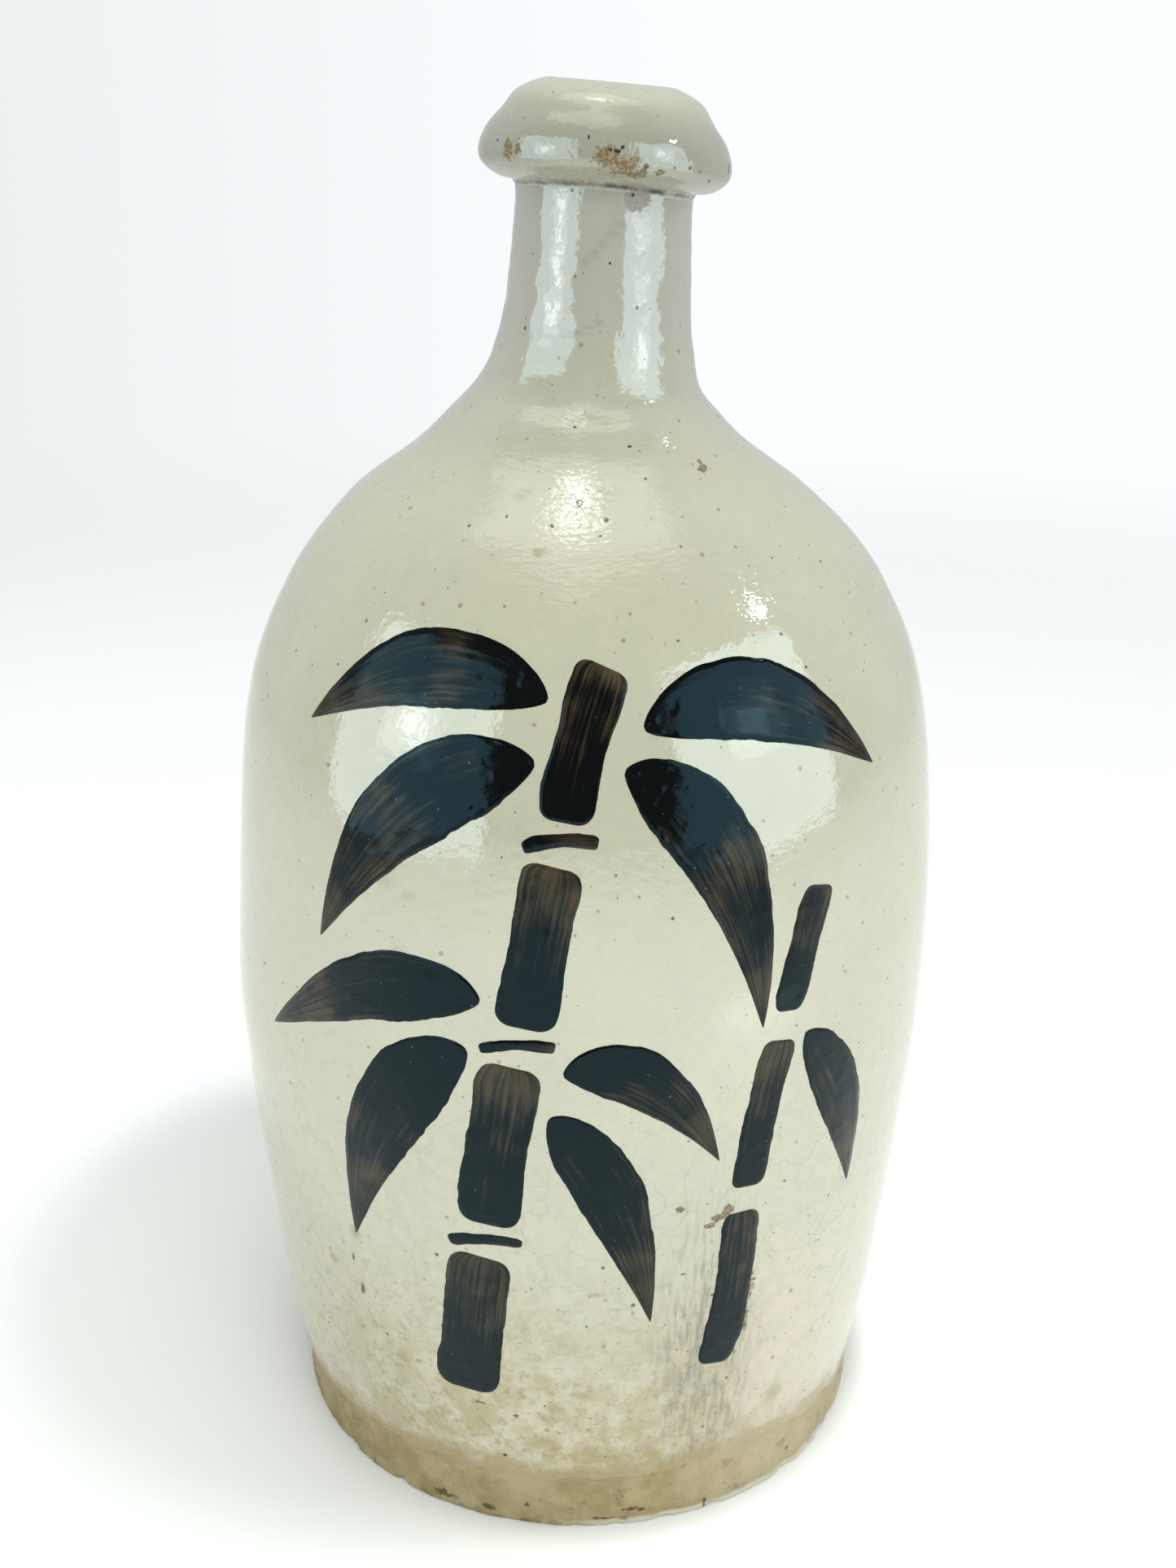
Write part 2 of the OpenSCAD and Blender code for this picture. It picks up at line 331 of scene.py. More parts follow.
def side_of(line):
    """Unit normals of a line in the (radius, height) plane, away from the clay."""
    step = np.gradient(line, axis=0)
    normals = np.column_stack([step[:, 1], -step[:, 0]])
    return normals / np.linalg.norm(normals, axis=1)[:, None]


OUTLINE = outer_line()
OUTWARD = side_of(OUTLINE)
ALONG = lengths_along(OUTLINE)
CREASE = ALONG[crease_point(OUTLINE)]
LIP_TOP = ALONG[np.argmax(OUTLINE[:, 1])]
STRAY_LINE = curve_through(STRAY)
rising = slice(0, int(np.argmax(OUTLINE[:, 1])) + 1)


def along_at(z):
    """Length along the outline to a height on the outside of the bottle."""
    return np.interp(z, OUTLINE[rising, 1], ALONG[rising])


def radius_at(z):
    """Radius of the ideal bottle's outside at a height."""
    return np.interp(z, OUTLINE[rising, 1], OUTLINE[rising, 0])


def outline_at(along):
    """Points of the outline, (radius, height), at lengths along it."""
    return np.column_stack([np.interp(along, ALONG, OUTLINE[:, k]) for k in (0, 1)])


# ---- from the ideal bottle to the real one
def turn_from(angle, middle):
    """Angle from a middle one, from -pi to pi."""
    return np.angle(np.exp(1j * (angle - middle)))


def warp(radius, angle, z):
    """Place on the real bottle, (..., 3) in mm, of a place on the ideal one."""
    radius, angle, z = np.broadcast_arrays(np.asarray(radius, float), angle, z)
    # The body is slightly oval, a little inside the CAD's circle, and swollen on the right of the foot.
    share = np.clip(radius / belly_r, 0, 1)
    oval = 0.13 * np.cos(2 * angle - 1.2) + 0.08 * np.cos(3 * angle + 1.7 + z / 60)
    swollen = 1.5 * bell(turn_from(angle, 0.8), 0.5) * smooth(z, 16, 0)
    # In front the lip is fuller, and its crease higher.
    front = bell(turn_from(angle, 0), 0.95)
    above = z - crease_h
    outside = smooth(radius, 10, 13)
    fuller = 1.6 * front * smooth(above, 3.5, 11.5) * smooth(above, 18.5, 14.5) * outside
    rounder = 0.9 * bell(above - 15, 2.2) * outside
    radius = radius + share * (oval - 0.6 + swollen) + fuller + rounder
    z = z + (0.7 + 1.5 * front) * bell(above, 6.5) - 0.12 * smooth(above, 8, 16)
    # The middle line strays, and the neck leans.
    x = radius * np.sin(angle) + np.interp(z, STRAY_LINE[:, 0], STRAY_LINE[:, 1])
    y = -radius * np.cos(angle)
    turn = lean * smooth(z, 190, 213)
    up = z - pivot_z
    leaning_x = np.cos(turn) * x + np.sin(turn) * up
    leaning_z = np.cos(turn) * up - np.sin(turn) * x + pivot_z
    return np.stack([leaning_x, y, leaning_z], axis=-1)


def edge_height(angle):
    """Height of the glaze's lower edge, round the foot."""
    ring = places(30 * np.sin(angle), 30 * np.cos(angle), 0)
    wave = 1.3 * noise(ring, 9, 3) + 0.7 * noise(ring, 3.3, 4) + 0.35 * noise(ring, 1.2, 5)
    low_right = 3.5 * bell(turn_from(angle, 1.25), 0.3)
    return bare_h + wave - low_right


def relief(along, angle):
    """Height in mm of the glaze's own unevenness at a place on its outline."""
    r = np.interp(along, ALONG, OUTLINE[:, 0])
    z = np.interp(along, ALONG, OUTLINE[:, 1])
    place = places(r * np.sin(angle), -r * np.cos(angle), z)
    on_body = smooth(z, 208, 178)
    past_crease = smooth(along, CREASE - 1, CREASE + 2)
    on_lip = past_crease * smooth(along, LIP_TOP + 6, LIP_TOP)
    on_neck = (1 - on_body) * (1 - past_crease)
    lumps = (0.02 + 0.1 * on_body) * noise(place, 36, 11) + (0.015 + 0.03 * on_body) * noise(place, 15, 12)
    rings = (0.012 + 0.02 * on_body) * noise(place, (70, 70, 5.5), 13)
    facets = on_neck * (0.09 * noise(place, (6, 6, 3.4), 14) + 0.07 * noise(place, (3, 3, 1.7), 15))
    dimples = (0.009 + 0.006 * on_body) * noise(place, 2.6, 16) + 0.004 * noise(place, 1.25, 20)
    ridge = (0.35 + 0.8 * bell(turn_from(angle, 0), 0.9)) * bell(z - 199.2, 2.8)
    lip_wear = on_lip * (0.06 * noise(place, 6, 17) + 0.03 * noise(place, 2.4, 18))
    pooled = 0.2 * bell(along - CREASE, 2.0) * (0.6 + 0.4 * noise(place, 6, 19))
    return lumps + rings + facets + dimples + ridge + lip_wear + pooled


def surface(along, angle, lift=0.0):
    """Place on the real bottle, lift mm above the glaze."""
    h = lift + relief(along, angle)
    r = np.interp(along, ALONG, OUTLINE[:, 0]) + h * np.interp(along, ALONG, OUTWARD[:, 0])
    z = np.interp(along, ALONG, OUTLINE[:, 1]) + h * np.interp(along, ALONG, OUTWARD[:, 1])
    return warp(r, angle, z)


# ---- meshes
def grid_faces(rows, columns, closed_rows=False, closed_columns=True, first=0):
    """Quads over a grid of points numbered row by row."""
    i = np.arange(rows if closed_rows else rows - 1)
    j = np.arange(columns if closed_columns else columns - 1)
    i, j = np.meshgrid(i, j, indexing="ij")
    across, up = (j + 1) % columns, (i + 1) % rows
    corners = [i * columns + j, i * columns + across, up * columns + across, up * columns + j]
    return (first + np.stack(corners, axis=-1).reshape(-1, 4)).tolist()


def capped_faces(rows, around):
    """Quads over a closed ring of points in rows, and a flat face over its first and last row."""
    first = list(range(around))[::-1]
    last = list(range((rows - 1) * around, rows * around))
    return grid_faces(rows, around) + [first, last]


def make_piece(name, points, faces, material, slot, nodes, **attributes):
    """A smooth mesh piece on the bottle, standing for the CAD nodes named."""
    mesh = bpy.data.meshes.new(name)
    mesh.from_pydata((np.asarray(points).reshape(-1, 3) * MM).tolist(), [], faces)
    for key, values in attributes.items():
        layer = mesh.attributes.new(key, "FLOAT", "POINT")
        layer.data.foreach_set("value", np.asarray(values, np.float32).ravel())
    mesh.materials.append(material)
    mesh.shade_smooth()
    piece = bpy.data.objects.new(name, mesh)
    bpy.context.scene.collection.objects.link(piece)
    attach(piece, "root")
    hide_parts(*nodes)


def turned_ring(name, profile, material, slot, nodes):
    """A piece of revolution with a hole through it: profile is closed, and clockwise seen with +Z up."""
    points = warp(profile[:, :1], angles(RING_POINTS)[None, :], profile[:, 1:])
    faces = grid_faces(len(profile), RING_POINTS, closed_rows=True)
    make_piece(name, points, faces, material, slot, nodes)


def glaze_skin(material):
    """The outer glaze: a thin ragged edge above the foot, up over the lip and down into the neck."""
    start = along_at(bare_h)
    edge_rows = start + np.array([0, 0.12, 0.3, 0.55, 0.85, 1.25])
    outer_rows = np.concatenate([edge_rows, np.arange(start + 1.9, ALONG[-1], GLAZE_ROW), ALONG[-1:]])
    inner_rows = outer_rows[::-4]
    angle = angles(GLAZE_POINTS)
    shift = edge_height(angle) - bare_h

    def following_edge(rows):
        """Lengths along the outline, round the bottle: the lowest rows follow the ragged edge."""
        return rows[:, None] + shift[None, :] * smooth(rows, start + 30, start + 1.5)[:, None]

    along = following_edge(outer_rows)
    above_edge = (outer_rows - start)[:, None]
    feathered = -0.42 * smooth(above_edge, 2.6, 0)
    outside = surface(along, angle[None, :], feathered)
    inside = surface(following_edge(inner_rows), angle[None, :], -glaze_t - 0.05)
    points = np.concatenate([outside, inside])
    faces = grid_faces(len(points), GLAZE_POINTS, closed_rows=True)
    inner_lengths = inner_rows[:, None] + 0 * angle[None, :]
    from_crease = np.concatenate([along, inner_lengths]) - CREASE
    from_edge = np.concatenate([above_edge + 0 * along, inner_lengths - start])
    make_piece("glaze_skin", points, faces, material, "body_glaze", ["body_glaze", "neck_glaze"],
               from_crease=from_crease, from_edge=from_edge)


def foot(material):
    """The base of bare clay: chipped and rough where it shows, with a wire-cut underside."""
    side = [(foot_r - 0.5, 0.0), (foot_r - 0.1, 0.5), (foot_r - 0.1, 3), (radius_at(8) - 0.25, 8)]
    side += [(radius_at(13) - 0.3, 13), (radius_at(base_join) - glaze_t - 0.1, base_join)]
    inner_r = radius_at(base_join) - wall - 0.4
    floor_line = [(inner_r, base_join), (inner_r - 3, base_t + 1), (axis_gap, base_t)]
    profile = np.vstack([
        evenly(np.array([(axis_gap, 0.0), side[0]]), 1.1)[:-1],
        evenly(np.array(side), 0.5),
        evenly(np.array(floor_line), 3),
    ])
    angle = angles(FOOT_POINTS)[None, :]
    r, z = profile[:, :1], profile[:, 1:]
    place = places(r * np.sin(angle), -r * np.cos(angle), z)
    on_side = smooth(r, foot_r - 3, foot_r - 1) * smooth(z, base_join, base_join - 2) + 0 * angle
    chips = smooth(noise(place, (6, 6, 5), 21) + 0.5 * noise(place, 2.4, 22), 0.25, 0.8) * smooth(z, 4.5, 0)
    grain = 0.12 * noise(place, 2.3, 23) + 0.07 * noise(place, 1.1, 24)
    grain = grain + 0.1 * noise(place, (20, 20, 1.6), 25)
    inward = on_side * (0.45 * chips - grain)
    below = (1 - smooth(z, 0, 0.6)) * smooth(r, foot_r - 1, foot_r - 4)
    wire = 0.12 * noise(place, (60, 2.2, 60), 26) + 0.1 * noise(place, 3, 27)
    lifted = below * np.clip(0.25 + wire, 0, 1)
    points = warp(r - inward, angle, z + lifted + 0.2 * on_side * chips * smooth(z, 1.5, 0))
    faces = capped_faces(len(profile), FOOT_POINTS)
    make_piece("foot", points, faces, material, "foot_clay", ["base_disc"])


def clay_wall(name, low, high, node, material):
    """A thrown section of the body inside the glaze, between two heights."""
    line = outline_at(np.arange(along_at(low), along_at(high), 2.5))
    outer = line - (glaze_t + 0.06) * side_of(line)
    inner = line - (wall - 0.02) * side_of(line)
    turned_ring(name, np.vstack([outer, inner[::-1]]), material, "wall_clay", [node])


def clay_neck(material):
    """The tube of clay inside the neck's glaze, up into the lip."""
    low = neck_join - 2.4
    outside = [(radius_at(z) - 0.9, z) for z in (low, 214, 224)]
    core = [(core_r, crease_h), (core_r, crease_h + 0.7 * lip_h)]
    hole = [(bore_r + 0.9, crease_h + 0.8 * lip_h), (bore_r + 0.9, neck_join + 9)]
    hole += [(bore_r + 4, neck_join + 1.5), (bore_r + 4, low)]
    turned_ring("neck_clay", np.array(outside + core + hole), material, "wall_clay", ["neck"])


def clay_lip(material):
    """The collar of clay round the neck's core, inside the lip's glaze."""
    line = outline_at(np.arange(CREASE + 2.2, LIP_TOP - 4.5, 1.5))
    ring = line - 0.75 * side_of(line)
    ring = ring[ring[:, 0] > core_r + 0.3]
    seat = [(core_r + 0.1, ring[-1, 1]), (core_r + 0.1, ring[0, 1])]
    turned_ring("lip_clay", np.vstack([ring, seat]), material, "wall_clay", ["lip_ring"])


def lining(material):
    """The thin glaze inside the body: its back lies on the clay, and its front is lining_t further in."""
    line = outline_at(np.arange(along_at(base_join + 6), along_at(neck_join - 3), 3))
    side_back = line - wall * side_of(line)
    side_front = line - (wall + lining_t) * side_of(line)
    side_r = side_back[0, 0]
    floor_back = np.array([
        (axis_gap, base_t + 0.25), (side_r - 20, base_t + 0.25), (side_r - 6, base_t + 0.5),
        (side_r - 2, base_t + 2), (side_r - 0.3, base_t + 5),
    ])
    floor_front = floor_back + (-0.3, lining_t)
    floor_front[0, 0] = axis_gap
    profile = np.vstack([floor_back, side_back, side_front[::-1], floor_front[::-1]])
    points = warp(profile[:, :1], angles(RING_POINTS)[None, :], profile[:, 1:])
    faces = capped_faces(len(profile), RING_POINTS)
    make_piece("lining", points, faces, material, "inner_glaze", ["inner_glaze"])


# ---- the painting
def culm_width(t):
    """Share of a culm's full width at a share t of its length: square ends, narrower in the middle."""
    return (1 - np.abs(2 * t - 1) ** 6) ** 0.25 * (0.85 + 0.15 * (2 * t - 1) ** 2)


def leaf_width(t):
    """Share of a leaf's full width at a share t of its length: widest near its start, and pointed."""
    return np.sin(math.pi * t**0.72) ** 0.9


def stroke_line(stroke, t):
    """Points of a stroke's curved middle line at shares t of its length, and unit vectors across it."""
    start, control, end, _ = (np.array(v, float) for v in stroke)
    t = t[..., None]
    middle = (1 - t) ** 2 * start + 2 * (t * (1 - t)) * control + t ** 2 * end
    heading = (1 - t) * (control - start) + t * (end - control)
    heading /= np.linalg.norm(heading, axis=-1, keepdims=True)
    return middle, np.stack([-heading[..., 1], heading[..., 0]], axis=-1)


def slab_faces(rows, columns, points, outward):
    """Faces of a thin slab whose top and bottom are grids, turned so that the top faces outward."""
    count = rows * columns
    upper = np.array(grid_faces(rows, columns, closed_columns=False))
    lower = upper[:, ::-1] + count
    numbers = np.arange(count).reshape(rows, columns)
    rim = [numbers[0], numbers[1:, -1], numbers[-1, -2::-1], numbers[-2:0:-1, 0]]
    rim = np.concatenate(rim).tolist()
    rim_faces = [[a, a + count, b + count, b] for a, b in zip(rim, rim[1:] + rim[:1])]
    first, second, _, fourth = points[upper[0]]
    if np.cross(second - first, fourth - first) @ outward < 0:
        upper, lower = upper[:, ::-1], lower[:, ::-1]
        rim_faces = [face[::-1] for face in rim_faces]
    return upper.tolist() + lower.tolist() + rim_faces


def brush_stroke(name, node, stroke, width_at, seed, material):
    """One raised stroke of iron slip: rough brushed edges, ridges along it, blisters and dry streaks."""
    start, _, end, half = (np.array(v, float) for v in stroke)
    size = np.linalg.norm(end - start) * 1.05
    rows = max(24, int(size / STROKE_ROW))
    columns = max(9, int(2 * half / STROKE_COLUMN))
    t = ((1 - np.cos(np.linspace(0.035, 1 - 0.035, rows) * math.pi)) / 2)[:, None]
    v = np.sin(np.linspace(-1, 1, columns) * math.pi / 2)[None, :]
    # The noise is read far apart for each stroke, and on the two sides of one, so that no two are alike.
    along_mm = t * size + 100.0 * seed
    rim = places(along_mm, np.sign(v) * 7.0, 0)
    rough = 0.16 * noise(rim, 7, 31) + 0.07 * noise(rim, 1.9, 32) + 0.03 * noise(rim, 0.7, 33)
    width = half * width_at(t) * (1 + rough / half * 2)
    middle, across = stroke_line(stroke, t)
    flat = middle + across * (v * width)[..., None]
    x, z = flat[..., 0], flat[..., 1]
    angle = np.arcsin(np.clip(x / radius_at(z), -0.98, 0.98))
    along = along_at(z)
    # Thickness of the slip: full inside its edge, with hairs of the brush along it, and blisters.
    local = places(along_mm, v * half, 0)
    from_edge = np.minimum((1 - np.abs(v)) * width, np.minimum(t, 1 - t) * size)
    hairs = noise(local, (26, 0.55, 1), 34) + 0.5 * noise(local, (14, 0.3, 1), 35)
    blisters = smooth(noise(local, 1.5, 36), 0.62, 0.85)
    uneven = 0.85 + 0.12 * hairs + 0.12 * noise(local, 4, 37) + 0.5 * blisters
    top = surface(along, angle, 0.02 + smooth(from_edge, -0.15, 0.75) * paint_t * uneven)
    bottom = surface(along, angle, -0.12)
    points = np.concatenate([top.reshape(-1, 3), bottom.reshape(-1, 3)])
    outward = np.array([math.sin(angle[0, 0]), -math.cos(angle[0, 0]), 0])
    faces = slab_faces(rows, columns, points, outward)

    def both(values):
        """Values for the grid's points, for the top and again for the bottom."""
        return np.concatenate([(values + 0 * t + 0 * v).ravel()] * 2)

    make_piece(name, points, faces, material, "iron_slip", [node],
               stroke_t=both(t), stroke_mm=both(along_mm), across_mm=both(v * half))


# ---- materials
class Shader:
    """Nodes of one material. Sockets and plain numbers may be mixed in its calls; places are in mm."""

    def __init__(self, name):
        self.material = bpy.data.materials.new(name)
        self.material.use_nodes = True
        self.nodes = self.material.node_tree.nodes
        self.links = self.material.node_tree.links
        self.surface = self.nodes["Principled BSDF"]
        metres = self.node("ShaderNodeTexCoord").outputs["Object"]
        self.place = self.vector("MULTIPLY", metres, (1 / MM,) * 3)
        self.x = self.axis("X", self.place)
        self.z = self.axis("Z", self.place)

    def node(self, kind, **settings):
        made = self.nodes.new(kind)
        for key, value in settings.items():
            setattr(made, key, value)
        return made

    def put(self, socket, value):
        """Links a socket to an input, or sets the input to a value."""
        if isinstance(value, bpy.types.NodeSocket):
            self.links.new(value, socket)
        elif isinstance(value, tuple) and len(value) == 3 and socket.type == "RGBA":
            socket.default_value = (*value, 1)
        else:
            socket.default_value = value

    def set(self, **values):
        """Sets the surface's inputs; an underscore in a name stands for a space."""
        for key, value in values.items():
            self.put(self.surface.inputs[key.replace("_", " ")], value)

    def math(self, operation, *values):
        made = self.node("ShaderNodeMath", operation=operation)
        for socket, value in zip(made.inputs, values):
            self.put(socket, value)
        return made.outputs[0]

    def vector(self, operation, *values):
        made = self.node("ShaderNodeVectorMath", operation=operation)
        for socket, value in zip(made.inputs, values):
            self.put(socket, value)
        return made.outputs["Value" if operation == "LENGTH" else "Vector"]

    def add(self, *values):
        total = values[0]
        for value in values[1:]:
            total = self.math("ADD", total, value)
        return total

    def times(self, *values):
        total = values[0]
        for value in values[1:]:
            total = self.math("MULTIPLY", total, value)
        return total

    def axis(self, name, vector):
        split = self.node("ShaderNodeSeparateXYZ")
        self.put(split.inputs[0], vector)
        return split.outputs[name]

    def attribute(self, name):
        return self.node("ShaderNodeAttribute", attribute_name=name).outputs["Fac"]

    def noise(self, size, detail=3.0, rough=0.5, at=None, shift=(0, 0, 0)):
        """Noise from about 0 to 1, one lump to each size in mm; size is one number or three."""
        sizes = size if isinstance(size, tuple) else (size,) * 3
        scaled = self.vector("MULTIPLY", at or self.place, tuple(1 / s for s in sizes))
        made = self.node("ShaderNodeTexNoise")
        self.put(made.inputs["Vector"], self.vector("ADD", scaled, shift))
        made.inputs["Scale"].default_value = 1.0
        made.inputs["Detail"].default_value = detail
        made.inputs["Roughness"].default_value = rough
        return made.outputs[0]

    def swing(self, *noise_settings):
        """Noise from about -0.5 to 0.5."""
        return self.math("SUBTRACT", self.noise(*noise_settings), 0.5)

    def noise_vector(self, size, detail):
        """Three noises in one, each from about -0.5 to 0.5."""
        made = self.node("ShaderNodeTexNoise")
        self.put(made.inputs["Vector"], self.vector("MULTIPLY", self.place, (1 / size,) * 3))
        made.inputs["Scale"].default_value = 1.0
        made.inputs["Detail"].default_value = detail
        return self.vector("SUBTRACT", made.outputs["Color"], (0.5, 0.5, 0.5))

    def cells(self, size, feature="F1", at=None, shift=(0, 0, 0)):
        """A node that gives the distance to the nearest cell centre or cell edge, in cells."""
        scaled = self.vector("MULTIPLY", at or self.place, (1 / size,) * 3)
        made = self.node("ShaderNodeTexVoronoi", feature=feature)
        self.put(made.inputs["Vector"], self.vector("ADD", scaled, shift))
        made.inputs["Scale"].default_value = 1.0
        return made

    def rise(self, value, low, high, bottom=0.0, top=1.0):
        """Smooth step from bottom at low to top at high; low may be the larger."""
        made = self.node("ShaderNodeMapRange", interpolation_type="SMOOTHSTEP")
        numbers = (high, low, top, bottom) if low > high else (low, high, bottom, top)
        for socket, number in zip(made.inputs[1:5], numbers):
            socket.default_value = number
        self.put(made.inputs[0], value)
        return made.outputs[0]

    def mix(self, share, one, other):
        """A colour from one, at share 0, to the other, at share 1."""
        made = self.node("ShaderNodeMix", data_type="RGBA")
        self.put(made.inputs["Factor"], share)
        self.put(made.inputs[6], one)
        self.put(made.inputs[7], other)
        return made.outputs[2]

    def near(self, centre, reach, soft, ragged, size):
        """1 within reach of a place along X, Y and Z; noise of this size makes the soft edge ragged."""
        offset = self.vector("SUBTRACT", self.place, centre)
        offset = self.vector("MULTIPLY", offset, tuple(1 / r for r in reach))
        distance = self.add(self.vector("LENGTH", offset), self.times(self.swing(size), ragged))
        return self.rise(distance, 1 + soft, 1 - soft)

    def nearest(self, marks, ragged, amount):
        """Distance to the nearest of the marks, in their own half sizes, with ragged edges."""
        distances = []
        for x, z, half_width, half_height in marks:
            angle = math.asin(x / (1.02 * radius_at(z)))
            centre = tuple(float(v) for v in surface(along_at(z), angle))
            reach = (half_width, half_width + 0.4, half_height)
            offset = self.vector("SUBTRACT", self.place, centre)
            distances.append(self.vector("LENGTH", self.vector("DIVIDE", offset, reach)))
        least = distances[0]
        for distance in distances[1:]:
            least = self.math("MINIMUM", least, distance)
        return self.add(least, self.times(ragged, amount))

    def specks(self, size, share, radius, shift):
        """Small round specks, one to a share of the cells; radius is in mm and varies from speck to speck."""
        made = self.cells(size, shift=shift)
        chance = self.axis("X", made.outputs["Color"])
        big = self.axis("Y", made.outputs["Color"])
        chosen = self.math("GREATER_THAN", chance, 1 - share)
        reach = self.times(self.rise(chance, 1 - share, 1, 0.35, 1.0), chosen)
        limit = self.times(reach, self.math("MULTIPLY_ADD", big, 0.7, 0.3), radius / size)
        inside = self.math("SUBTRACT", limit, made.outputs["Distance"])
        return self.rise(inside, -0.02 * radius / size, 0.35 * radius / size)

    def bump(self, height):
        """Normal from a height in mm."""
        made = self.node("ShaderNodeBump")
        made.inputs["Strength"].default_value = 1.0
        made.inputs["Distance"].default_value = MM
        self.put(made.inputs["Height"], height)
        return made.outputs[0]


def glaze_ground(s, climb):
    """The glaze's colour: greyer and darker on the neck and lip, partly its own tone and partly painted
    shade, with a painted highlight on the lip's top; warmer near the foot, with soft mottling.
    """
    low = s.rise(s.add(s.z, s.times(s.swing(30), 30)), 75, 20)
    colour = s.mix(low, BODY_COLOUR, LOW_COLOUR)
    # Greyer and darker on the neck and the lip: partly the glaze's own tone, partly painted shade.
    colour = s.mix(s.rise(s.z, 184, 222), colour, NECK_TONE_AND_SHADE)
    colour = s.mix(s.rise(climb, -1, 3), colour, LIP_TONE_AND_SHADE)
    # Lighter towards the top of the lip: a painted highlight where light falls from above.
    colour = s.mix(s.rise(s.add(climb, s.times(s.noise(7, 3), 6)), 17, 27), colour, LIP_TOP_PAINTED_HIGHLIGHT)
    cloud = s.rise(s.noise(22, 4, 0.6), 0.3, 0.7)
    colour = s.mix(s.times(cloud, 0.2), colour, CLOUD_COLOUR)
    fine = s.rise(s.noise(2.2, 4, 0.65, shift=(3, 1, 7)), 0.35, 0.75)
    colour = s.mix(s.times(fine, s.rise(s.z, 120, 60, 0.14, 0.3)), colour, MOTTLE_COLOUR)
    grains = s.rise(s.noise(0.45, 2, 0.6, shift=(2, 9, 4)), 0.6, 0.78)
    colour = s.mix(s.times(grains, 0.28), colour, GRAIN_COLOUR)
    pink = s.times(s.near((33, -52, 34), (17, 30, 27), 0.5, 0.8, 9), s.rise(s.noise(8, 3), 0.35, 0.6))
    return s.mix(s.times(pink, 0.4), colour, PINK_COLOUR)


def glaze_stains(s, colour):
    """Yellow-brown stains low down, then streaks rubbed up and down, right of the middle."""
    wash = s.near((-12, -60, 24), (40, 40, 30), 0.6, 0.8, 12)
    amount = s.add(s.times(wash, 0.9), s.rise(s.z, 30, 10, 0, 0.5))
    stain = s.times(s.rise(s.noise(6, 4, 0.7), 0.3, 0.66), amount)
    colour = s.mix(s.times(stain, 0.82), colour, STAIN_COLOUR)
    blotch = s.times(s.rise(s.noise(1.8, 4, 0.7, shift=(4, 4, 1)), 0.5, 0.68), s.rise(s.z, 70, 30))
    colour = s.mix(s.times(blotch, s.rise(s.x, 36, -8, 0.3, 1.0), 0.7), colour, BLOTCH_COLOUR)
    rubbed = s.near((23, -58, 40), (9, 30, 33), 0.5, 0.6, 7)
    streaks = s.rise(s.noise((0.9, 0.9, 9), 5, 0.75), 0.4, 0.66)
    colour = s.mix(s.times(rubbed, streaks, 0.8), colour, RUBBED_COLOUR)
    return colour, stain, rubbed


def glaze_crazing(s, colour):
    """A few fine, faint, curving cracks, which show mainly low down."""
    bent = s.vector("ADD", s.place, s.vector("MULTIPLY", s.noise_vector(7, 3), (9, 9, 9)))
    wide = s.rise(s.cells(11.0, "DISTANCE_TO_EDGE", at=bent).outputs["Distance"], 0.03, 0.003)
    close = s.rise(s.cells(4.6, "DISTANCE_TO_EDGE", at=bent).outputs["Distance"], 0.035, 0.004)
    wide = s.times(wide, s.rise(s.noise(13), 0.36, 0.52))
    close = s.times(close, s.rise(s.noise(16), 0.5, 0.66), 0.6)
    craze = s.add(wide, close)
    return s.mix(s.times(craze, s.rise(s.z, 112, 78), 0.2), colour, CRAZE_COLOUR), craze


def glaze_specks(s, colour, ragged):
    """Specks everywhere, then the single grey smears and olive spots."""
    brown = s.specks(3.2, 0.8, 0.6, (0, 0, 0))
    colour = s.mix(s.times(brown, 0.6), colour, BROWN_SPECK)
    tiny = s.specks(1.8, 0.8, 0.32, (1.9, 4.4, 8.2))
    colour = s.mix(s.times(tiny, 0.7), colour, GREY_SPECK)
    rust = s.times(s.specks(2.6, 0.8, 0.6, (6.1, 3.2, 0.4)), s.rise(s.z, 80, 50))
    colour = s.mix(s.times(rust, 0.6), colour, RUST_SPECK)
    smear = s.rise(s.nearest(GREY_SMEARS, ragged, 1.4), 1.7, 0.2)
    colour = s.mix(s.times(smear, 0.2), colour, SMEAR_COLOUR)
    olive = s.rise(s.nearest(OLIVE_SPOTS, ragged, 0.8), 1.4, 0.3)
    return s.mix(s.times(olive, 0.62), colour, OLIVE_COLOUR)


def glaze_lip_dirt_and_shade(s, colour, climb, ragged):
    """Brown just above the crease under the lip, partly stain and partly painted shade, flaky brown patches,
    and dirt and painted shade in the crease.
    """
    # Brown on the left just above the crease: partly stain and partly painted shade under the lip.
    under = s.times(s.rise(climb, -1, 2), s.rise(s.add(climb, s.times(ragged, 9)), 10, 3), s.rise(s.x, 17, 4))
    colour = s.mix(s.times(under, s.rise(s.noise(1.1, 4, 0.7), 0.42, 0.62), 0.6), colour, UNDER_LIP_STAIN_AND_SHADE)
    patch = s.rise(s.nearest(BROWN_PATCHES, ragged, 2.6), 1.15, 0.7)
    flaky = s.noise(0.55, 3, 0.65)
    patch_colour = s.mix(s.rise(flaky, 0.38, 0.66), PATCH_DARK, PATCH_PALE)
    colour = s.mix(s.times(patch, s.rise(flaky, 0.3, 0.45, 0.7, 0.92)), colour, patch_colour)
    # Near-black along the crease under the lip: dirt and painted shade.
    dirt = s.rise(s.math("ABSOLUTE", s.add(climb, 0.1, s.times(ragged, 0.7))), 0.6, 0.1)
    colour = s.mix(s.times(dirt, s.rise(s.noise(3, 2), 0.38, 0.6, 0.5, 1.0)), colour, CREASE_DIRT_AND_SHADE)
    return colour, patch, flaky


